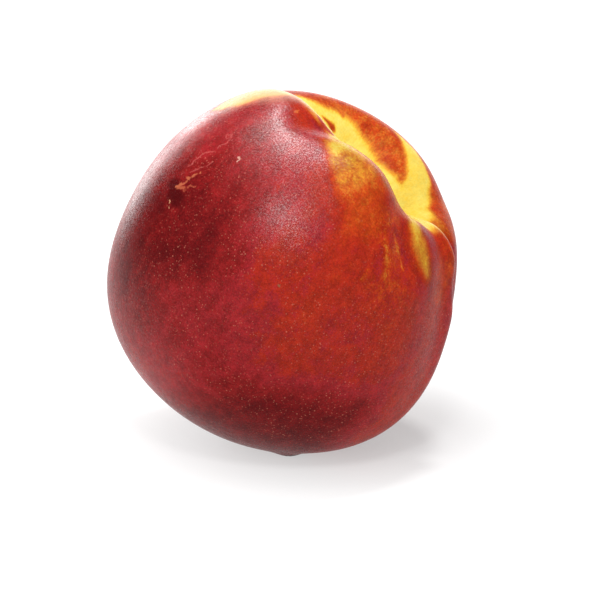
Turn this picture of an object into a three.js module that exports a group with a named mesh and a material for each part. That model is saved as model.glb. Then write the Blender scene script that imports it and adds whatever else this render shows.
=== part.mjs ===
// A nectarine resting on a table: its stem end leans up and to the side, and its small pointed
// tip is at the bottom. Millimetres, +Z up, origin on the table under the middle of the fruit.
//
// The skin is one closed surface. In the fruit's own frame it is a distance from the middle for
// each direction: a ball with gentle swellings, from which the stem basin, the seam and two
// shallow creases are taken, and to which the lip of the seam and the tip are added. The own
// frame has +Z along the stem, +X on the seam's side and +Y on the far cheek. A direction is
// two angles in degrees: "fromStem", and "around" the stem axis, counted from the seam's side.

import * as THREE from 'three';

// ---- Size and stance ----
const BODY_RADIUS = 34.5;
const STEM_AXIS = { fromUp: 31, towards: 3.8 };
const TIP_AXIS = { fromUp: 167.3, towards: -77 };
const REST_DEPTH = 36.4;

// ---- Swellings and flats: centre, spread in degrees, height as a share of the body radius ----
const SWELLINGS = [
  { name: 'far shoulder', fromStem: 34, around: 80, spread: 26, height: 0.035 },
  { name: 'near shoulder', fromStem: 34, around: -80, spread: 26, height: -0.034 },
  { name: 'rim of the near cheek', fromStem: 36, around: -66, spread: 14, height: 0.06 },
  { name: 'rim by the notch', fromStem: 36, around: -138, spread: 14, height: 0.052 },
  { name: 'back shoulder', fromStem: 30, around: 180, spread: 20, height: 0.02 },
  { name: 'slope of the back', fromStem: 60, around: 180, spread: 18, height: -0.018 },
  { name: 'back', fromStem: 95, around: 180, spread: 35, height: -0.09 },
  { name: 'foot of the back', fromStem: 135, around: 180, spread: 32, height: 0.044 },
  { name: 'near cheek', fromStem: 90, around: -90, spread: 45, height: -0.027 },
  { name: 'far cheek', fromStem: 90, around: 90, spread: 45, height: -0.018 },
  { name: 'top of the seam', fromStem: 70, around: 0, spread: 26, height: -0.05 },
  { name: 'foot of the seam', fromStem: 116, around: 0, spread: 34, height: 0.095 },
  { name: 'base', fromStem: 150, around: 0, spread: 30, height: 0.015 },
  { name: 'resting side of the base', fromStem: 152, around: 90, spread: 32, height: 0.076 },
];

// ---- Stem basin: depth and half width at degrees from the stem, towards the seam ----
const BASIN = {
  at: [-75, -45, -25, 0, 20, 34, 44, 54, 64, 76],
  depth: [0, 0.6, 4, 12.5, 9.8, 8.2, 3.5, 1.2, 1, 0],
  halfWidth: [6, 7, 9, 12, 13.3, 14, 12, 8.9, 7, 6],
  steepness: 2.2,
  farShare: 0.68,
};

// ---- Seam: how far it strays towards the far cheek, its depth, and the height of its near lip ----
const SEAM = {
  at: [0, 20, 34, 46, 60, 90, 118, 143, 150],
  stray: [0, 0, 1.7, 2.9, 3.9, 4.4, 3, 0, 0],
  depth: [0, 0.2, 1.2, 1.6, 2, 1.5, 1.1, 0.8, 0],
  lip: [0, 0, 0.1, 1.6, 1.95, 0.85, 0.2, 0, 0],
  halfWidth: 2.4,
  lipDistance: 5,
  lipHalfWidth: 3,
};

// ---- Creases, each from one direction to another, deepest half way ----
const CREASES = [
  { name: 'notch in the rim', from: [20, -76], to: [44, -122], halfWidth: 2.8, depth: 1.6 },
  { name: 'hollow beside the lip', from: [38, -50], to: [72, -28], halfWidth: 5, depth: 2.15 },
];

const STEM_SCAR = { depth: 1.4, halfWidth: 2.6 };
const TIP = { height: 1.2, halfWidth: 2.6 };

// ---- Mesh: rings from stem to tip, and meridians drawn closer together at the seam ----
const RINGS = 50;
const MERIDIANS = 72;
const SEAM_CROWDING = 0.5;

const SKIN = { color: 0xa3252a, roughness: 0.38, metalness: 0 };

const radians = THREE.MathUtils.degToRad;
const degrees = THREE.MathUtils.radToDeg;
const smoothstep = THREE.MathUtils.smoothstep;

function direction(fromAxis, around) {
  const a = radians(fromAxis);
  const b = radians(around);
  return new THREE.Vector3(Math.sin(a) * Math.cos(b), Math.sin(a) * Math.sin(b), Math.cos(a));
}

const stem = direction(STEM_AXIS.fromUp, STEM_AXIS.towards);
const tip = direction(TIP_AXIS.fromUp, TIP_AXIS.towards);
const farSide = new THREE.Vector3().crossVectors(stem, tip).normalize();
const seamSide = new THREE.Vector3().crossVectors(farSide, stem);
const tipFromStem = degrees(stem.angleTo(tip));
const tipDirection = direction(tipFromStem, 0);

// Smooth curve through the points (xs, ys), level before the first and after the last.
function curve(xs, ys, x) {
  const last = xs.length - 1;
  const place = THREE.MathUtils.clamp(x, xs[0], xs[last]);
  let i = 0;
  while (i < last - 1 && place >= xs[i + 1]) i += 1;
  const slope = (k) => (k === 0 || k === last ? 0 : (ys[k + 1] - ys[k - 1]) / (xs[k + 1] - xs[k - 1]));
  const span = xs[i + 1] - xs[i];
  const t = (place - xs[i]) / span;
  const rise = t * t * (3 - 2 * t);
  const ease = t * (1 - t) * span;
  return ys[i] + (ys[i + 1] - ys[i]) * rise + ease * ((1 - t) * slope(i) - t * slope(i + 1));
}

// 1 at the middle of a dent or ridge, falling to 0 beyond its half width.
function bell(distance, halfWidth, steepness = 2) {
  return Math.exp(-(Math.abs(distance / halfWidth) ** steepness));
}

function swellings(d) {
  let sum = 0;
  for (const { fromStem, around, spread, height } of SWELLINGS) {
    const closeness = d.dot(direction(fromStem, around)) - 1;
    sum += BODY_RADIUS * height * Math.exp(closeness / (1 - Math.cos(radians(spread))));
  }
  return sum;
}

function basin(seamwards, offSeam) {
  const width = curve(BASIN.at, BASIN.halfWidth, seamwards) * (offSeam > 0 ? BASIN.farShare : 1);
  return curve(BASIN.at, BASIN.depth, seamwards) * bell(offSeam, width, BASIN.steepness);
}

function seam(seamwards, offSeam) {
  const off = offSeam - curve(SEAM.at, SEAM.stray, seamwards);
  const depth = curve(SEAM.at, SEAM.depth, seamwards) * bell(off, SEAM.halfWidth);
  const lip = curve(SEAM.at, SEAM.lip, seamwards) * bell(off + SEAM.lipDistance, SEAM.lipHalfWidth);
  return depth - lip;
}

function creases(d) {
  let sum = 0;
  for (const { from, to, halfWidth, depth } of CREASES) {
    const start = direction(...from);
    const run = direction(...to).sub(start);
    const offset = d.clone().sub(start);
    const share = THREE.MathUtils.clamp(offset.dot(run) / run.lengthSq(), 0, 1);
    const distance = offset.addScaledVector(run, -share).length() * BODY_RADIUS;
    sum += depth * bell(distance, halfWidth) * Math.sin(Math.PI * share) ** 2;
  }
  return sum;
}

function skinDistance(d) {
  let seamwards = degrees(Math.atan2(d.x, d.z));
  if (seamwards < -105) seamwards += 360;
  const offSeam = Math.asin(THREE.MathUtils.clamp(d.y, -1, 1)) * BODY_RADIUS;
  const fromStem = Math.acos(THREE.MathUtils.clamp(d.z, -1, 1)) * BODY_RADIUS;
  const fromTip = d.angleTo(tipDirection) * BODY_RADIUS;
  return BODY_RADIUS + swellings(d) - basin(seamwards, offSeam) - seam(seamwards, offSeam)
    - creases(d) - STEM_SCAR.depth * bell(fromStem, STEM_SCAR.halfWidth)
    + TIP.height * bell(fromTip, TIP.halfWidth);
}

// A point of the skin. Below the widest ring the meridians bend, so that they meet at the tip.
function skinPoint(fromStem, around) {
  const bend = radians(180 - tipFromStem) * smoothstep(fromStem, 90, 180);
  const d = direction(fromStem, around).applyAxisAngle(new THREE.Vector3(0, 1, 0), -bend);
  return d.multiplyScalar(skinDistance(d));
}

function skinGeometry() {
  const points = [skinPoint(0, 0)];
  for (let ring = 1; ring < RINGS; ring += 1) {
    for (let k = 0; k < MERIDIANS; k += 1) {
      const even = 360 * k / MERIDIANS;
      const around = even - SEAM_CROWDING * degrees(Math.sin(radians(even)));
      points.push(skinPoint(180 * ring / RINGS, around));
    }
  }
  points.push(skinPoint(180, 0));

  const faces = [];
  const at = (ring, k) => 1 + (ring - 1) * MERIDIANS + (k % MERIDIANS);
  for (let k = 0; k < MERIDIANS; k += 1) {
    faces.push(0, at(1, k), at(1, k + 1));
    for (let ring = 1; ring < RINGS - 1; ring += 1) {
      faces.push(at(ring, k), at(ring + 1, k), at(ring + 1, k + 1));
      faces.push(at(ring, k), at(ring + 1, k + 1), at(ring, k + 1));
    }
    faces.push(at(RINGS - 1, k), points.length - 1, at(RINGS - 1, k + 1));
  }
  const geometry = new THREE.BufferGeometry().setFromPoints(points);
  geometry.setIndex(faces);
  return geometry;
}

// Turned from the fruit's own frame to the way it rests, with the flesh pressed flat below it.
function restingGeometry() {
  const geometry = skinGeometry();
  geometry.applyMatrix4(new THREE.Matrix4().makeBasis(seamSide, farSide, stem));
  const positions = geometry.attributes.position;
  for (let i = 0; i < positions.count; i += 1) {
    positions.setZ(i, Math.max(positions.getZ(i), -REST_DEPTH));
  }
  geometry.computeBoundingBox();
  const middle = geometry.boundingBox.getCenter(new THREE.Vector3());
  geometry.translate(-middle.x, -middle.y, REST_DEPTH);
  geometry.computeVertexNormals();
  return geometry;
}

const nectarine = new THREE.Mesh(restingGeometry(), new THREE.MeshStandardMaterial(SKIN));
nectarine.name = 'nectarine';

const part = new THREE.Group();
part.name = 'nectarine_part';
part.add(nectarine);

export default part;
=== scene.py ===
"""A nectarine resting on a pale floor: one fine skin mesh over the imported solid, in metres."""
import math

import bpy
import numpy as np
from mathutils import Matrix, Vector


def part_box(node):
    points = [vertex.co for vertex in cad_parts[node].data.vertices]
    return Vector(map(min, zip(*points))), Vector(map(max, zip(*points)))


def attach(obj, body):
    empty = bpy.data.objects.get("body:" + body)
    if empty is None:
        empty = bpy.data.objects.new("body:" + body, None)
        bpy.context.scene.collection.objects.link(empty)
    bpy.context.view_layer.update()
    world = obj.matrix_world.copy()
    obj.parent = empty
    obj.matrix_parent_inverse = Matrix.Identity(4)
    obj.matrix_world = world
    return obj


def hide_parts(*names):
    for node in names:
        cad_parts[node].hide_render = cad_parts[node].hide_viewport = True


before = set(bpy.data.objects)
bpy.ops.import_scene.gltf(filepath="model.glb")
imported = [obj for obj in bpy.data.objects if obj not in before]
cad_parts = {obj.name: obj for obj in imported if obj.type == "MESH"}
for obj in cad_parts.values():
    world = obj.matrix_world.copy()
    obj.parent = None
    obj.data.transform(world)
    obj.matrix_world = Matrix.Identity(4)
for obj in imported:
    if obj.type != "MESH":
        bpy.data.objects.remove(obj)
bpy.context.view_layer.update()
MM = 0.001

# ---- Shape of the fruit, the same named values as the solid: millimetres and degrees ----
BODY_RADIUS = 34.5
# how the fruit rests: each axis by its angle from upright and around from +X, and the floor by its
# depth below the middle
STEM_AXIS = (31, 3.8)
TIP_AXIS = (167.3, -77)
REST_DEPTH = 36.4

# from the stem, around it from the seam, spread, height as a share of the body radius
SWELLINGS = {
    "far shoulder": (34, 80, 26, 0.035),
    "near shoulder": (34, -80, 26, -0.034),
    "rim of the near cheek": (36, -66, 14, 0.06),
    "rim by the notch": (36, -138, 14, 0.052),
    "back shoulder": (30, 180, 20, 0.02),
    "slope of the back": (60, 180, 18, -0.018),
    "back": (95, 180, 35, -0.09),
    "foot of the back": (135, 180, 32, 0.044),
    "near cheek": (90, -90, 45, -0.027),
    "far cheek": (90, 90, 45, -0.018),
    "top of the seam": (70, 0, 26, -0.05),
    "foot of the seam": (116, 0, 34, 0.095),
    "base": (150, 0, 30, 0.015),
    "resting side of the base": (152, 90, 32, 0.076),
}
# The stem basin with its valley, and then the seam, at these degrees from the stem towards the
# seam's side: depths, heights, half widths and strays in mm. The basin is narrower by a share on
# the far side, and the lip runs beside the seam on the near side.
BASIN_AT = [-75, -45, -25, 0, 20, 34, 44, 54, 64, 76]
BASIN_DEPTH = [0, 0.6, 4, 12.5, 9.8, 8.2, 3.5, 1.2, 1, 0]
BASIN_HALF_WIDTH = [6, 7, 9, 12, 13.3, 14, 12, 8.9, 7, 6]
BASIN_STEEPNESS = 2.2
BASIN_FAR_SHARE = 0.68
SEAM_AT = [0, 20, 34, 46, 60, 90, 118, 143, 150]
SEAM_STRAY = [0, 0, 1.7, 2.9, 3.9, 4.4, 3, 0, 0]
SEAM_DEPTH = [0, 0.2, 1.2, 1.6, 2, 1.5, 1.1, 0.8, 0]
SEAM_LIP = [0, 0, 0.1, 1.6, 1.95, 0.85, 0.2, 0, 0]
SEAM_HALF_WIDTH = 2.4
LIP_DISTANCE = 5
LIP_HALF_WIDTH = 3
# from and to, as angles from the stem and around it, then half width and depth
CREASES = {
    "notch in the rim": ((20, -76), (44, -122), 2.8, 1.6),
    "hollow beside the lip": ((38, -50), (72, -28), 5, 2.15),
}
STEM_SCAR_DEPTH = 1.4
STEM_SCAR_HALF_WIDTH = 2.6
TIP_HEIGHT = 1.2
TIP_HALF_WIDTH = 2.6

# degrees towards the seam's side are counted from here, on the back, to a full turn more
BACK_LIMIT = -105

# the skin's mesh: even rings from stem to tip, and meridians that crowd towards the seam
RINGS = 230
MERIDIANS = 418
SEAM_CROWDING = 0.35
WIDEST_RING = 90


def direction(from_axis, around):
    """Unit vectors for angles in degrees from +Z and around it from +X."""
    a = np.radians(from_axis)
    b = np.radians(around)
    return np.stack([np.sin(a) * np.cos(b), np.sin(a) * np.sin(b), np.cos(a) + 0 * b], -1)


def smoothstep(x, low, high):
    t = np.clip((x - low) / (high - low), 0, 1)
    return t * t * (3 - 2 * t)


def curve(xs, ys, x):
    """Smooth curve through the points (xs, ys), level before the first and after the last."""
    xs = np.array(xs, float)
    ys = np.array(ys, float)
    slope = np.zeros(len(xs))
    slope[1:-1] = (ys[2:] - ys[:-2]) / (xs[2:] - xs[:-2])
    x = np.clip(x, xs[0], xs[-1])
    i = np.clip(np.searchsorted(xs, x, side="right") - 1, 0, len(xs) - 2)
    span = xs[i + 1] - xs[i]
    t = (x - xs[i]) / span
    rise = t * t * (3 - 2 * t)
    ease = t * (1 - t) * span
    return ys[i] + (ys[i + 1] - ys[i]) * rise + ease * ((1 - t) * slope[i] - t * slope[i + 1])


def bell(distance, half_width, steepness=2):
    """1 at distance 0, falling evenly to both sides."""
    return np.exp(-(np.abs(distance / half_width) ** steepness))


def reach(d, start, end):
    """Distance in mm from directions d to the line between two directions, and the share along it."""
    a = direction(*start)
    run = direction(*end) - a
    share = np.clip(((d - a) @ run) / max(run @ run, 1e-9), 0, 1)
    return np.linalg.norm(d - a - share[..., None] * run, axis=-1) * BODY_RADIUS, share


stem = direction(*STEM_AXIS)
tip = direction(*TIP_AXIS)
far_side = np.cross(stem, tip)
far_side /= np.linalg.norm(far_side)
seam_side = np.cross(far_side, stem)
TIP_FROM_STEM = math.degrees(math.acos(stem @ tip))


def seam_place(d):
    """Degrees from the stem towards the seam's side, and mm off the seam's plane."""
    seamwards = np.degrees(np.arctan2(d[..., 0], d[..., 2]))
    seamwards = np.where(seamwards < BACK_LIMIT, seamwards + 360, seamwards)
    return seamwards, np.arcsin(np.clip(d[..., 1], -1, 1)) * BODY_RADIUS


def skin_distance(d):
    """Distance in mm from the middle to the skin, in the own-frame directions d."""
    seamwards, off_seam = seam_place(d)
    r = np.full(d.shape[:-1], BODY_RADIUS)
    for from_stem, around, spread, height in SWELLINGS.values():
        closeness = d @ direction(from_stem, around) - 1
        r += BODY_RADIUS * height * np.exp(closeness / (1 - math.cos(math.radians(spread))))
    width = curve(BASIN_AT, BASIN_HALF_WIDTH, seamwards) * np.where(off_seam > 0, BASIN_FAR_SHARE, 1)
    r -= curve(BASIN_AT, BASIN_DEPTH, seamwards) * bell(off_seam, width, BASIN_STEEPNESS)
    off = off_seam - curve(SEAM_AT, SEAM_STRAY, seamwards)
    r -= curve(SEAM_AT, SEAM_DEPTH, seamwards) * bell(off, SEAM_HALF_WIDTH)
    r += curve(SEAM_AT, SEAM_LIP, seamwards) * bell(off + LIP_DISTANCE, LIP_HALF_WIDTH)
    for start, end, half_width, depth in CREASES.values():
        distance, share = reach(d, start, end)
        r -= depth * bell(distance, half_width) * np.sin(math.pi * share) ** 2
    from_stem = np.arccos(np.clip(d[..., 2], -1, 1)) * BODY_RADIUS
    from_tip = np.arccos(np.clip(d @ direction(TIP_FROM_STEM, 0), -1, 1)) * BODY_RADIUS
    r -= STEM_SCAR_DEPTH * bell(from_stem, STEM_SCAR_HALF_WIDTH)
    r += TIP_HEIGHT * bell(from_tip, TIP_HALF_WIDTH)
    return r


# ---- Colours of the skin ----
# The blush is 0 where the yellow ground shows and 1 where the skin is darkest red, and mottle is
# how much the noise in the material changes it. Each patch is a line of two or more points (from
# the stem, around, half width in mm), with a soft edge in mm, its blush and its mottle. Later ones
# lie on top.
SKIN_BLUSH = 0.82
SKIN_MOTTLE = 0.12
PATCHES = {
    "dark side of the near cheek": (
        [(76, -114, 8), (73, -107, 6), (91, -106, 9), (95, -128, 15), (110, -126, 11)], 19, 0.98, 0.10),
    "red under the rim": ([(50, -118, 5), (62, -116, 5)], 14, 0.89, 0.10),
    "bright red of the near cheek": ([(84, -72, 8), (98, -54, 9)], 13, 0.725, 0.14),
    "far cheek": ([(45, 100, 18), (90, 90, 28), (125, 95, 18)], 16, 0.66, 0.18),
    "back": ([(70, 178, 12), (105, 175, 16)], 18, 0.76, 0.16),
    "orange side of the near cheek": (
        [(51, -52, 9), (66, -49, 11.5), (80, -45, 12), (92, -42, 9)], 6, 0.69, 0.13),
    "lower left of the near cheek": ([(114, -99, 5), (124, -96, 6)], 12, 0.87, 0.10),
    "bright edge of the crimson": ([(48, -85, 2), (58, -78, 3)], 5, 0.72, 0.10),
    "upper orange side": ([(42, -65, 5), (51, -61, 6)], 7, 0.555, 0.13),
    "below the orange side": ([(94, -48, 8), (106, -40, 8)], 12, 0.755, 0.12),
    # the dark base is the skin's deepest red, and painted shade on the underside
    "dark base": (
        [(128, -62, 5), (126, -42, 9), (118, -28, 8), (146, -30, 12), (165, 60, 16), (156, -70, 8),
         (141, -56, 7)], 14, 0.98, 0.07),
    "side of the seam": ([(64, -14, 3), (80, -14, 6), (98, -10, 8)], 6, 0.75, 0.10),
    "foot of the seam": ([(100, -2, 5), (118, -10, 6)], 10, 0.74, 0.10),
    "mottled side of the lip": ([(50, -47, 3), (60, -42, 5), (72, -42, 5)], 5, 0.675, 0.28),
    "edge of the lip": ([(31, -70, 1.5), (36, -52, 2), (42, -36, 1.5)], 3, 0.45, 0.12),
    "far slope of the cavity": ([(30, 150, 6), (22, 120, 8), (18, 75, 8), (24, 40, 5)], 3, 0.50, 0.18),
    "around the valley's end": ([(36, 20, 5), (44, 4, 5), (50, -4, 4)], 4, 0.43, 0.18),
    "stem cavity": (
        [(26, -165, 8), (10, -140, 11), (7, -90, 11), (12, -35, 10), (25, -15, 9), (36, -6, 7)],
        2.0, 0.04, 0.10),
    "end of the valley": ([(40, -28, 1.2), (40, -10, 2.4), (38, 5, 3), (37, 14, 2.4)], 2, 0.08, 0.10),
    "far shoulder": ([(42, 40, 8), (42, 100, 13), (46, 160, 9)], 3, 0.58, 0.18),
    "yellow streak on the far shoulder": (
        [(21.5, 80, 0.2), (22.5, 66, 0.9), (24, 54, 1.8), (26, 42, 2.3), (29, 31, 3.0), (31, 22, 4.0)],
        1.4, 0.08, 0.08),
    "tongue in the valley": (
        [(23, 26, 0.0), (21.5, 34, 0.1), (19.8, 43, 0.3), (18.2, 54, 0.7), (16.6, 70, 1.5),
         (16.4, 85, 2.1), (18, 105, 2.4), (20, 122, 2.0)], 1.2, 0.50, 0.20),
    "outside of the far lip": ([(37, 34, 2), (42, 26, 2.6), (48, 18, 2.6)], 2.4, 0.53, 0.18),
    "inside of the far lip": ([(48, -8, 1.4), (53, -9, 2.4), (59, -8, 3), (66, -12, 3)], 4, 0.60, 0.20),
    "small tongue": ([(25, 146, 1.2), (20, 142, 0.8), (16.5, 138, 0.4)], 0.9, 0.46, 0.12),
    "yellow over the back rim": (
        [(27, -156, 5.2), (36, -150, 5.4), (43, -150, 5.0), (49, -151, 3), (54, -153, 1)],
        1.8, 0.15, 0.08),
    "ochre rim": ([(26, -95, 2.2), (33, -83.5, 4.0), (38, -75.5, 4.0)], 4.0, 0.14, 0.18),
    "ochre below the rim": ([(39, -76.5, 3.2), (44, -74, 2.8), (49, -71.5, 1.6)], 4, 0.36, 0.26),
    "ochre along the lip": ([(37, -68, 1.0), (41, -62, 1.0)], 3, 0.42, 0.24),
    # painted shadow: a dark red-brown wedge where the hollow behind the notch lies in shade
    "painted shadow in the hollow behind the notch": (
        [(18.5, 165, 0.2), (16.2, 160, 0.4), (14.4, 157, 0.7), (13.4, 154.5, 0.2)], 0.7, 0.52, 0.08),
    "slope of the notch": ([(29, -140, 0.8), (28, -124, 1.1), (26, -112, 0.9)], 1.6, 0.34, 0.10),
    # the notch is partly the skin's red and partly painted shade on the hidden slope of the notch
    "notch": ([(25, -119, 0.3), (25.5, -110, 0.8), (24, -102, 0.5)], 0.8, 0.66, 0.06),
    "dimple": ([(32, -124, 1.6), (34, -112, 1.6)], 4, 0.66, 0.06),
    "ochre below the valley": (
        [(43, -27, 1.8), (48, -29, 2.1), (52, -28, 2.0), (57, -26, 1.8), (62, -23.5, 1.3)],
        3.5, 0.22, 0.16),
    "yellow below the valley": ([(41, -25, 1.4), (46, -29, 1.4)], 3, 0.12, 0.12),
    "ochre streak": ([(54, -50, 0.2), (59, -48, 0.6), (63, -46, 0.6), (69, -45, 0.2)], 1.3, 0.42, 0.28),
    "next ochre streak": ([(53, -44, 0.2), (58, -40, 0.6), (63, -37, 0.3)], 1.4, 0.44, 0.28),
    "small ochre streak": ([(66, -52, 0.1), (72, -53, 0.3)], 1.0, 0.46, 0.24),
}
# blush, then the colour that the skin has there
BLUSH_COLOURS = [
    (0.00, (0.66, 0.55, 0.118)),
    (0.12, (0.68, 0.45, 0.05)),
    (0.24, (0.60, 0.25, 0.022)),
    (0.38, (0.48, 0.125, 0.016)),
    (0.52, (0.405, 0.045, 0.006)),
    (0.66, (0.335, 0.020, 0.006)),
    (0.74, (0.31, 0.016, 0.007)),
    (0.82, (0.285, 0.014, 0.018)),
    (0.90, (0.215, 0.009, 0.009)),
    (1.00, (0.12, 0.004, 0.005)),
]
# patches laid in the same way, with one value each: what the colour is multiplied by, mostly painted
# shade where it is below 1,
SKIN_SHADE = 1
SHADE_PATCHES = {
    # painted shade: darker on the foot of the near cheek, towards the underside
    "foot of the near cheek": ([(139, -60, 8), (126, -30, 8)], 14, 0.84),
    # painted shade: darker beside the fold of the seam
    "beside the fold": ([(45, 17, 2), (50, 10, 2)], 4, 0.86),
    "middle of the near cheek": ([(88, -77, 3), (92, -56, 4)], 10, 1.07),
    # painted shade: darker on the lower part of the near cheek, towards the underside
    "lower part of the near cheek": ([(108, -66, 8), (102, -40, 8), (84, -26, 6)], 14, 0.92),
    # the ochre below the valley is darkened, partly its own brown and partly painted shade at the
    # bottom of the groove
    "ochre below the valley": ([(46, -24, 2.4), (52, -28, 2.2), (58, -26, 2.2), (66, -20, 2)], 5, 0.76),
    # the ochre rim is only made a darker ochre
    "ochre rim": ([(33, -85, 3), (38, -77, 3)], 5, 0.77),
    # painted shadow: darker in the hollow behind the notch
    "painted shadow in the hollow behind the notch": ([(17, 162, 0.2), (14.4, 157, 0.4)], 1.6, 0.74),
    # painted shade: darker along the crease at the edge of the lip
    "edge of the lip": ([(34, -62, 0.6), (41, -44, 0.8), (45, -33, 0.8)], 2.8, 0.74),
}
# how far it turns to the pale colour, a painted reflection of the bright room along the grazing back
# rim,
SKIN_PAINTED_REFLECTION = 0
PAINTED_REFLECTION_PATCHES = {
    "back rim": ([(27, -152, 5), (36, -148, 5.5), (46, -150, 4)], 5, 0.55),
}
PAINTED_REFLECTION_COLOUR = (0.66, 0.46, 0.33)
# and how strong the waxy coat is
SKIN_POLISH = 0.08
POLISH_PATCHES = {
    "crown of the near cheek": ([(44, -126, 6), (44, -100, 8), (53, -85, 7), (68, -85, 6)], 11, 0.43),
    "heart of the highlight": ([(48, -124, 3), (44, -115, 3), (45, -106, 1)], 8, 0.95),
    "heart of the lower highlight": ([(66, -88, 2), (68, -84, 2)], 7, 0.52),
    "side of the seam": ([(60, -6, 6), (90, -14, 8), (108, -18, 6)], 14, 0.15),
    "underside": ([(134, -72, 12), (122, -26, 11)], 16, 0.0),
    "left of the underside": ([(122, -122, 6), (134, -104, 6)], 12, 0.2),
    "back rim": ([(27, -156, 6), (60, -154, 4)], 6, 0.7),
}
# further outside every patch than any place on the fruit, in mm
FAR_OUTSIDE = 99.0


def painted(d, patches, *base):
    """The base values, changed by each of the patches in turn."""
    values = [np.full(d.shape[:-1], float(value)) for value in base]
    for points, edge, *paint in patches.values():
        outside = np.full(d.shape[:-1], FAR_OUTSIDE)
        for start, end in zip(points, points[1:]):
            distance, share = reach(d, start[:2], end[:2])
            outside = np.minimum(outside, distance - start[2] - (end[2] - start[2]) * share)
        cover = 1 - smoothstep(outside, -edge / 2, edge / 2)
        for value, new in zip(values, paint):
            value += (new - value) * cover
    return values


def skin_directions():
    """Directions of the rings of the mesh. Below the widest ring the meridians bend to the tip."""
    even = np.arange(MERIDIANS) * 360 / MERIDIANS
    around = even - SEAM_CROWDING * np.degrees(np.sin(np.radians(even)))
    from_stem = np.linspace(0, 180, RINGS + 1)[:, None]
    d = direction(from_stem, around[None, :])
    bend = -np.radians(180 - TIP_FROM_STEM) * smoothstep(from_stem, WIDEST_RING, 180)
    cosine = np.cos(bend)
    sine = np.sin(bend)
    x = cosine * d[..., 0] + sine * d[..., 2]
    z = cosine * d[..., 2] - sine * d[..., 0]
    d = np.stack([x, d[..., 1], z], -1)
    return np.concatenate([d[0, :1], d[1:-1].reshape(-1, 3), d[-1, :1]])


def skin_faces():
    """Four-sided faces between the rings, closed by triangles at the stem and the tip."""
    ring = 1 + np.arange(RINGS - 1)[:, None] * MERIDIANS
    k = np.arange(MERIDIANS)[None, :]
    here = ring + k
    after = ring + (k + 1) % MERIDIANS
    last = 1 + (RINGS - 1) * MERIDIANS
    quads = np.stack([here[:-1], here[1:], after[1:], after[:-1]], -1).reshape(-1, 4)
    cap = [(0, int(a), int(b)) for a, b in zip(here[0], after[0])]
    foot = [(last, int(b), int(a)) for a, b in zip(here[-1], after[-1])]
    return cap + [tuple(q) for q in quads.tolist()] + foot


def add_field(mesh, name, values):
    """Keep one number or vector a vertex on the mesh, for the material."""
    if values.ndim == 1:
        mesh.attributes.new(name, "FLOAT", "POINT").data.foreach_set("value", values)
    else:
        mesh.attributes.new(name, "FLOAT_VECTOR", "POINT").data.foreach_set("vector", values.ravel())


# The streaks in the skin run from stem to tip, and near the stem they turn into even blots. The
# noise that draws them is read on a cylinder of this radius in mm, shortened to this share, but
# not within about this angle of the stem, in radians.
GRAIN_RADIUS = 20
GRAIN_SHORTENING = 0.25
GRAIN_EVEN_REACH = 0.4


def grain_place(d):
    """Where each direction lies on the cylinder of the streaks, in mm."""
    around = np.arctan2(d[:, 1], d[:, 0])
    from_stem = np.arccos(np.clip(d[:, 2], -1, 1))
    radius = np.minimum(BODY_RADIUS * np.sin(from_stem), GRAIN_RADIUS)
    radius = np.where(from_stem < math.pi / 2, radius, GRAIN_RADIUS)
    even_share = (1 - GRAIN_SHORTENING) * GRAIN_EVEN_REACH * (1 - np.exp(-from_stem / GRAIN_EVEN_REACH))
    height = BODY_RADIUS * (GRAIN_SHORTENING * from_stem + even_share)
    return np.stack([radius * np.cos(around), radius * np.sin(around), height], -1)


def skin_mesh():
    """The skin's mesh, standing where the solid stands, and the middle of the fruit in metres."""
    d = skin_directions()
    own = d * skin_distance(d)[:, None]
    points = own @ np.stack([seam_side, far_side, stem])
    points[:, 2] = np.maximum(points[:, 2], -REST_DEPTH)
    low, high = np.array(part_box("nectarine"))
    middle = (points.min(0) + points.max(0)) / 2
    place = np.array([(low[0] + high[0]) / 2, (low[1] + high[1]) / 2, low[2]])
    offset = place - np.array([middle[0], middle[1], -REST_DEPTH]) * MM
    points = points * MM + offset
    mesh = bpy.data.meshes.new("nectarine_skin")
    mesh.from_pydata(points.tolist(), [], skin_faces())
    mesh.shade_smooth()
    add_field(mesh, "own", d * BODY_RADIUS)
    add_field(mesh, "grain", grain_place(d))
    blush, mottle = painted(d, PATCHES, SKIN_BLUSH, SKIN_MOTTLE)
    add_field(mesh, "blush", blush)
    add_field(mesh, "mottle", mottle)
    # the shade field is mostly painted shade
    add_field(mesh, "shade", painted(d, SHADE_PATCHES, SKIN_SHADE)[0])
    # the pale field is the painted reflection along the back rim
    add_field(mesh, "pale", painted(d, PAINTED_REFLECTION_PATCHES, SKIN_PAINTED_REFLECTION)[0])
    add_field(mesh, "polish", painted(d, POLISH_PATCHES, SKIN_POLISH)[0])
    return mesh, offset


mesh, fruit_middle = skin_mesh()
skin = bpy.data.objects.new("nectarine_skin", mesh)
bpy.context.collection.objects.link(skin)
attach(skin, "root")
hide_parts("nectarine")

# ---- Material of the skin ----
material = bpy.data.materials.new("skin")
material.use_nodes = True
nodes, links = material.node_tree.nodes, material.node_tree.links
shader = nodes["Principled BSDF"]


def plug(target, value):
    """Link the value to the socket, or set it there."""
    if isinstance(value, bpy.types.NodeSocket):
        links.new(value, target)
    else:
        target.default_value = value


def calc(operation, *values, clamp=False):
    node = nodes.new("ShaderNodeMath")
    node.operation = operation
    node.use_clamp = clamp
    for target, value in zip(node.inputs, values):
        plug(target, value)
    return node.outputs[0]


def total(*terms):
    """Sum of the values, each times its share."""
    result = None
    for value, share in terms:
        part = calc("MULTIPLY", value, share)
        result = part if result is None else calc("ADD", result, part)
    return result


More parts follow.
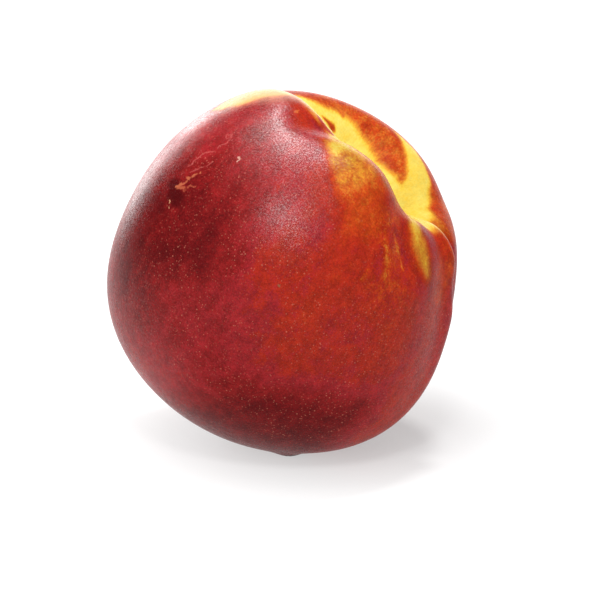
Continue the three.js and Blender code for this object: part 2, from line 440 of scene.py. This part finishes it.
def vector_calc(operation, *values, scale=None):
    node = nodes.new("ShaderNodeVectorMath")
    node.operation = operation
    for target, value in zip(node.inputs, values):
        plug(target, value)
    if scale is not None:
        plug(node.inputs["Scale"], scale)
    return node.outputs["Value" if operation in ("DOT_PRODUCT", "DISTANCE") else "Vector"]


def field(name, output="Fac"):
    """A number or vector kept on the mesh."""
    node = nodes.new("ShaderNodeAttribute")
    node.attribute_name = name
    return node.outputs[output]


def noise(place, size, detail=3, roughness=0.5, distortion=0.0, output="Fac"):
    """Noise with features about size mm across, 0 to 1 and 0.5 on average."""
    node = nodes.new("ShaderNodeTexNoise")
    plug(node.inputs["Vector"], place)
    plug(node.inputs["Scale"], 1 / size)
    plug(node.inputs["Detail"], detail)
    plug(node.inputs["Roughness"], roughness)
    plug(node.inputs["Distortion"], distortion)
    return node.outputs[output]


def mapped(value, low, high, to_low=0.0, to_high=1.0):
    """The value eased from the range low to high into the range to_low to to_high."""
    node = nodes.new("ShaderNodeMapRange")
    node.interpolation_type = "SMOOTHSTEP"
    for target, number in zip(node.inputs, (value, low, high, to_low, to_high)):
        plug(target, number)
    return node.outputs[0]


def coloured(factor, under, over, mode="MIX"):
    """The colour under, covered with the colour over by the factor."""
    node = nodes.new("ShaderNodeMix")
    node.data_type = "RGBA"
    node.blend_type = mode
    # of the node's sockets, these are the ones for colours
    plug(node.inputs[0], factor)
    plug(node.inputs[6], under if isinstance(under, bpy.types.NodeSocket) else (*under, 1))
    plug(node.inputs[7], over if isinstance(over, bpy.types.NodeSocket) else (*over, 1))
    return node.outputs[2]


def ramp(factor, stops):
    """The colour at the factor between stops of (position, colour)."""
    node = nodes.new("ShaderNodeValToRGB")
    plug(node.inputs[0], factor)
    elements = node.color_ramp.elements
    while len(elements) < len(stops):
        elements.new(0.5)
    for element, (position, colour) in zip(elements, stops):
        element.position = position
        element.color = (*colour, 1)
    return node.outputs[0]


# a line or a dot fades between these shares of its half width or radius
LINE_FADE = (1.3, 0.5)
DOT_FADE = (1.35, 0.5)


def line_mask(place, points, half_width):
    """1 on a line through own-frame directions, 0 beyond its half width in mm."""
    nearest = None
    for start, end in zip(points, points[1:]):
        a = Vector(direction(*start)) * BODY_RADIUS
        run = Vector(direction(*end)) * BODY_RADIUS - a
        offset = vector_calc("SUBTRACT", place, a)
        along = vector_calc("DOT_PRODUCT", offset, run)
        share = calc("MULTIPLY", along, 1 / run.length_squared, clamp=True)
        distance = vector_calc("DISTANCE", offset, vector_calc("SCALE", run, scale=share))
        nearest = distance if nearest is None else calc("MINIMUM", nearest, distance)
    return mapped(nearest, half_width * LINE_FADE[0], half_width * LINE_FADE[1])


def dots(per_mm, radius, faintest):
    """Round dots with a radius in mm, the faintest of this strength and the others up to 1."""
    cells = nodes.new("ShaderNodeTexVoronoi")
    plug(cells.inputs["Vector"], own)
    plug(cells.inputs["Scale"], per_mm)
    lot = nodes.new("ShaderNodeSeparateColor")
    plug(lot.inputs[0], cells.outputs["Color"])
    size = radius * per_mm
    spot = mapped(cells.outputs["Distance"], size * DOT_FADE[0], size * DOT_FADE[1])
    return calc("MULTIPLY", spot, mapped(lot.outputs[0], 0, 1, faintest, 1.0))


# The noises in the skin, with the size of their features in mm. These change the blush:
STREAKS = {"size": 2.6, "detail": 4, "roughness": 0.6}
BLOTS = {"size": 3.2, "detail": 5, "roughness": 0.62, "distortion": 0.6}
FLECKS = {"size": 0.45, "detail": 3, "roughness": 0.6}
STREAK_SHARE = 0.9
BLOT_SHARE = 1.1
FLECK_SHARE = 1.0
BLUSH_CHANGE = 2.0
# these its shade, least where the skin is yellow:
WIDE_CLOUDS = {"size": 2.0, "detail": 4, "roughness": 0.62}
NARROW_CLOUDS = {"size": 1.1, "detail": 4, "roughness": 0.6}
POWDER = {"size": 0.36, "detail": 2, "roughness": 0.6}
WIDE_CLOUD_SHARE = 0.5
NARROW_CLOUD_SHARE = 0.3
POWDER_SHARE = 0.5
CLOUDS_TO_SHADE = (0.48, 0.82, 0.74, 1.24)
BLUSH_TO_SHADING = (0.1, 0.6, 0.3, 1.0)
# this how strong its pale dots are:
CROWDING = {"size": 11, "detail": 2}
CROWDING_TO_DOTS = (0.38, 0.62, 0.35, 1.0)
# this its coat, which is also thinner where the skin is yellow or orange:
COAT_GRAINS = {"size": 0.34, "detail": 2, "roughness": 0.6}
GRAINS_TO_COAT = (0.40, 0.66, 0.5, 2.1)
BLUSH_TO_COAT = (0.58, 0.72, 0.35, 1.0)
# and these its roughness and its pores
ROUGH_CLOUDS = {"size": 1.2}
CLOUDS_TO_ROUGHNESS = (0.3, 0.7, 0.24, 0.34)
PORES = {"size": 0.32, "detail": 2, "roughness": 0.6}
PORE_DEPTH = 0.00006

# dots for a mm, radius in mm, strength of the faintest
SMALL_DOTS = (1.7, 0.12, 0.1)
LARGE_DOTS = (0.8, 0.16, 0.2)
DOT_COLOUR = (0.62, 0.22, 0.14)
BLUSH_TO_DOTS = (0.5, 0.85, 0.14, 0.50)

COAT_ROUGHNESS = 0.33
SPECULAR_LEVEL = 0.035

# Scars and flecks: lines through own-frame directions, half width in mm, colour and cover. They
# are shaken by a noise, by up to half the wobble's reach in mm each way.
WOBBLE = {"size": 1 / 0.7, "detail": 3}
WOBBLE_REACH = 1.6
SCARS = {
    "dark bruise": ([(80, -128), (82, -125), (82.5, -122)], 1.7, (0.06, 0.002, 0.003), 0.8),
    "small bruise": ([(88, -127), (89, -126)], 1.0, (0.07, 0.003, 0.004), 0.6),
    "scratch": (
        [(80, -126.5), (77.5, -124.5), (75.5, -124.5), (71.5, -121.5)],
        0.26, (0.48, 0.12, 0.055), 0.8),
    "foot of the scratch": ([(79.5, -125.5), (78.5, -123)], 0.36, (0.44, 0.10, 0.045), 0.75),
    "side of the scratch": (
        [(79, -122.5), (77, -121.5), (75.5, -119.5)], 0.2, (0.44, 0.09, 0.045), 0.6),
    "branch of the scratch": ([(77.5, -125), (75.5, -127)], 0.2, (0.44, 0.08, 0.05), 0.7),
    "upper line": (
        [(73, -129), (71, -128), (67, -128), (63, -125), (60, -125), (57, -124)],
        0.2, (0.50, 0.10, 0.09), 0.55),
    "lower line": (
        [(76, -128), (72, -125), (69, -122), (65, -121)], 0.17, (0.46, 0.09, 0.08), 0.5),
    "loop": (
        [(57, -128), (55, -127), (56.5, -125), (58, -126), (57, -128)],
        0.17, (0.50, 0.10, 0.09), 0.5),
    "pale tick": ([(84.5, -125), (86, -122.5)], 0.16, (0.62, 0.30, 0.16), 0.8),
    "pale fleck": ([(60, -115), (60.8, -114.3)], 0.2, (0.62, 0.36, 0.28), 0.7),
    "speck": ([(86, -76), (86.3, -75.7)], 0.26, (0.20, 0.11, 0.05), 0.7),
    "orange dot": ([(33, -122), (33.5, -121)], 0.3, (0.60, 0.16, 0.04), 0.5),
    "tip": ([(TIP_FROM_STEM, 0), (TIP_FROM_STEM - 1, 0)], 2.2, (0.03, 0.007, 0.005), 0.9),
}

own = field("own", "Vector")
grain = field("grain", "Vector")
mixed = total((noise(grain, **STREAKS), STREAK_SHARE), (noise(own, **BLOTS), BLOT_SHARE),
              (noise(own, **FLECKS), FLECK_SHARE))
average = (STREAK_SHARE + BLOT_SHARE + FLECK_SHARE) / 2
change = calc("MULTIPLY", calc("SUBTRACT", mixed, average), field("mottle"))
blush = calc("ADD", field("blush"), calc("MULTIPLY", change, BLUSH_CHANGE), clamp=True)
# the pale field mixes in the painted reflection along the back rim
colour = coloured(field("pale"), ramp(blush, BLUSH_COLOURS), PAINTED_REFLECTION_COLOUR)

clouds = total((noise(own, **WIDE_CLOUDS), WIDE_CLOUD_SHARE),
               (noise(grain, **NARROW_CLOUDS), NARROW_CLOUD_SHARE),
               (noise(own, **POWDER), POWDER_SHARE))
shading = calc("SUBTRACT", mapped(clouds, *CLOUDS_TO_SHADE), 1)
shading = calc("MULTIPLY", shading, mapped(field("blush"), *BLUSH_TO_SHADING))
# times the shade field, which is mostly painted shade
shade = calc("MULTIPLY", calc("ADD", shading, 1), field("shade"))
tone = nodes.new("ShaderNodeCombineColor")
for target in tone.inputs[:3]:
    plug(target, shade)
colour = coloured(1.0, colour, tone.outputs[0], "MULTIPLY")

speckle = calc("MAXIMUM", dots(*SMALL_DOTS), dots(*LARGE_DOTS))
speckle = calc("MULTIPLY", speckle, mapped(noise(own, **CROWDING), *CROWDING_TO_DOTS))
speckle = calc("MULTIPLY", speckle, mapped(field("blush"), *BLUSH_TO_DOTS))
colour = coloured(speckle, colour, DOT_COLOUR)

centred = vector_calc("SUBTRACT", noise(own, **WOBBLE, output="Color"), (0.5, 0.5, 0.5))
shaken_place = vector_calc("ADD", own, vector_calc("SCALE", centred, scale=WOBBLE_REACH))
for points, half_width, paint, cover in SCARS.values():
    mask = line_mask(shaken_place, points, half_width)
    colour = coloured(calc("MULTIPLY", mask, cover), colour, paint)

bump = nodes.new("ShaderNodeBump")
plug(bump.inputs["Height"], noise(own, **PORES))
plug(bump.inputs["Strength"], 1.0)
plug(bump.inputs["Distance"], PORE_DEPTH)
coat = calc("MULTIPLY", field("polish"), mapped(noise(own, **COAT_GRAINS), *GRAINS_TO_COAT))
coat = calc("MULTIPLY", coat, mapped(field("blush"), *BLUSH_TO_COAT), clamp=True)
plug(shader.inputs["Base Color"], colour)
plug(shader.inputs["Roughness"], mapped(noise(own, **ROUGH_CLOUDS), *CLOUDS_TO_ROUGHNESS))
plug(shader.inputs["Coat Weight"], coat)
plug(shader.inputs["Normal"], bump.outputs["Normal"])
plug(shader.inputs["Coat Normal"], bump.outputs["Normal"])
shader.inputs["Specular IOR Level"].default_value = SPECULAR_LEVEL
shader.inputs["Coat Roughness"].default_value = COAT_ROUGHNESS
mesh.materials.append(material)

# ---- Floor, in metres ----
FLOOR_SIZE = 8
FLOOR_GREY = 0.28
FLOOR_ROUGHNESS = 0.9
# The floor is lit from within, weakest in a soft round shade under the fruit: how far the middle
# of the shade lies from the fruit's, how far the shade reaches, and the strength inside and out.
SHADE_OFFSET = (0.017, 0.013)
SHADE_REACH = (0.004, 0.054)
FLOOR_GLOW = (0.38, 0.77)

bpy.ops.mesh.primitive_plane_add(size=FLOOR_SIZE, location=(0, 0, float(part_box("nectarine")[0][2])))
floor = bpy.context.object
floor.name = "floor"
paper = bpy.data.materials.new("floor")
paper.use_nodes = True
sheet = paper.node_tree
surface = sheet.nodes["Principled BSDF"]
surface.inputs["Base Color"].default_value = (FLOOR_GREY, FLOOR_GREY, FLOOR_GREY, 1)
surface.inputs["Roughness"].default_value = FLOOR_ROUGHNESS
surface.inputs["Emission Color"].default_value = (1, 1, 1, 1)
spot = sheet.nodes.new("ShaderNodeTexCoord")
away = sheet.nodes.new("ShaderNodeVectorMath")
away.operation = "DISTANCE"
away.inputs[1].default_value = (fruit_middle[0] + SHADE_OFFSET[0], fruit_middle[1] + SHADE_OFFSET[1], 0)
glow = sheet.nodes.new("ShaderNodeMapRange")
glow.interpolation_type = "SMOOTHSTEP"
glow.inputs["From Min"].default_value = SHADE_REACH[0]
glow.inputs["From Max"].default_value = SHADE_REACH[1]
glow.inputs["To Min"].default_value = FLOOR_GLOW[0]
glow.inputs["To Max"].default_value = FLOOR_GLOW[1]
sheet.links.new(spot.outputs["Object"], away.inputs[0])
sheet.links.new(away.outputs["Value"], glow.inputs["Value"])
sheet.links.new(glow.outputs[0], surface.inputs["Emission Strength"])
floor.data.materials.append(paper)

# ---- Room and lights ----
# brightness of the room from in front of the fruit, 0, to behind it, 1
ROOM_BRIGHTNESS = [
    (0, 0.75),
    (0.45, 0.45),
    (0.58, 0.12),
    (0.72, 0.14),
    (0.82, 0.32),
    (0.89, 0.8),
    (0.96, 2.4),
]
world = bpy.data.worlds.new("studio")
bpy.context.scene.world = world
world.use_nodes = True
air = world.node_tree
place = air.nodes.new("ShaderNodeTexCoord")
split = air.nodes.new("ShaderNodeSeparateXYZ")
half = air.nodes.new("ShaderNodeMapRange")
half.inputs["From Min"].default_value = -1
depth = air.nodes.new("ShaderNodeValToRGB")
while len(depth.color_ramp.elements) < len(ROOM_BRIGHTNESS):
    depth.color_ramp.elements.new(0.5)
for element, (position, level) in zip(depth.color_ramp.elements, ROOM_BRIGHTNESS):
    element.position = position
    element.color = (level, level, level, 1)
air.links.new(place.outputs["Generated"], split.inputs[0])
air.links.new(split.outputs["Y"], half.inputs["Value"])
air.links.new(half.outputs[0], depth.inputs[0])
air.links.new(depth.outputs[0], air.nodes["Background"].inputs["Strength"])
air.nodes["Background"].inputs["Color"].default_value = (1, 1, 1, 1)
bpy.context.scene.view_settings.view_transform = "Standard"

# each faces this point, in metres: the direction that it lies in, distance, size and brightness
LIT_POINT = Vector((0, 0, 0.036))
SOFTBOXES = {
    "broad panel overhead": ((-0.22, -0.08, 0.95), 0.75, (0.30, 0.36), 5.5),
    "lamp overhead": ((0.15, 0.13, 0.95), 0.75, (0.13, 0.13), 70),
    "lamp in front": ((0.0, -0.69, 0.72), 0.75, (0.11, 0.15), 40),
    "panel behind the left": ((-0.50, 0.85, 0.20), 1.0, (0.36, 0.5), 6.5),
}
for name, (towards, distance, size, brightness) in SOFTBOXES.items():
    light = bpy.data.lights.new(name, "AREA")
    light.shape = "RECTANGLE"
    light.size = size[0]
    light.size_y = size[1]
    light.energy = brightness * math.pi * size[0] * size[1]
    lamp = bpy.data.objects.new(name, light)
    lamp.location = LIT_POINT + Vector(towards).normalized() * distance
    lamp.rotation_euler = (lamp.location - LIT_POINT).to_track_quat("Z", "Y").to_euler()
    bpy.context.collection.objects.link(lamp)

# ---- Camera: lens and sensor in mm, distance in metres ----
ELEVATION = math.radians(15)
DISTANCE = 0.6
LENS = 185.3
SENSOR_WIDTH = 36
CLIP_START = 0.01
# how far the middle of the view lies to the right of the fruit's and below it, in mm
VIEW_RIGHT = 3.13
VIEW_DOWN = 7.0
right = Vector((1, 0, 0))
up = Vector((0, math.sin(ELEVATION), math.cos(ELEVATION)))
back = Vector((0, -math.cos(ELEVATION), math.sin(ELEVATION)))
aim = Vector(fruit_middle) + right * VIEW_RIGHT * MM - up * VIEW_DOWN * MM
camera = bpy.data.objects.new("camera", bpy.data.cameras.new("camera"))
camera.data.lens = LENS
camera.data.sensor_width = SENSOR_WIDTH
camera.data.clip_start = CLIP_START
camera.location = aim + back * DISTANCE
camera.rotation_euler = back.to_track_quat("Z", "Y").to_euler()
bpy.context.collection.objects.link(camera)
bpy.context.scene.camera = camera
